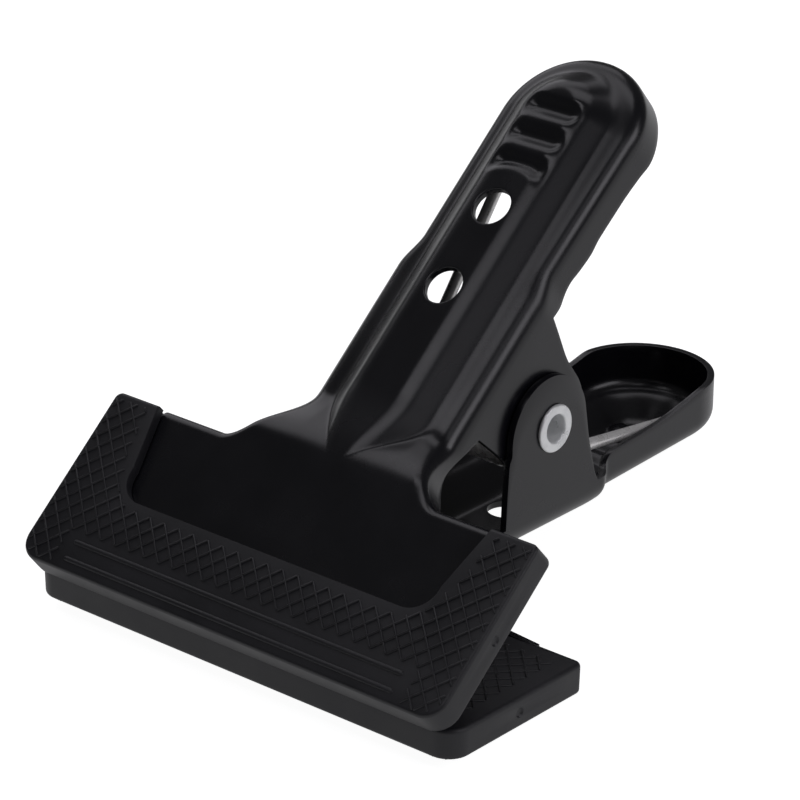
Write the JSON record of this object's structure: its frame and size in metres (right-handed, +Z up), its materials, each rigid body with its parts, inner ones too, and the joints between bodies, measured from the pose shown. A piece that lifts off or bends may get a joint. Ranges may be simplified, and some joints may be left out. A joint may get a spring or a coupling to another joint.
{
  "type": "sheet-metal spring clamp",
  "caption": "Wide-jawed black sheet-steel spring clamp with ribbed rubber jaw pads, a hollow pivot rivet and a torsion spring that closes the jaws.",
  "frame": {"origin": "under the middle of the object's box, on the surface it lies on", "axes": "+X from the handles towards the jaws, +Y along the pivot, +Z up; the clamp lies on the back edge of its lower pad and on the crown of its lower handle"},
  "size_m": [0.1528, 0.112, 0.0936],
  "materials": {
    "arm_paint": "satin black paint on pressed sheet steel",
    "pad_rubber": "matte black moulded rubber with fine raised lines",
    "rivet_zinc": "bright zinc plate",
    "spring_steel": "bright drawn wire"
  },
  "bodies": {
    "lower_jaw": {"lower_arm": "arm_paint", "lower_jaw_pad": "pad_rubber", "pivot_rivet": "rivet_zinc", "torsion_spring": "spring_steel"},
    "upper_jaw": {"upper_arm": "arm_paint", "upper_jaw_pad": "pad_rubber"}
  },
  "joints": [
    {"name": "jaw_opening", "type": "hinge", "parent": "lower_jaw", "child": "upper_jaw", "pos_m": [-0.00514, 0, 0.03222], "axis": [0, -1, 0], "range_deg": [0, 45], "stiffness_Nm_per_rad": 2, "springref_deg": -25.78, "deforming": ["torsion_spring"]}
  ]
}
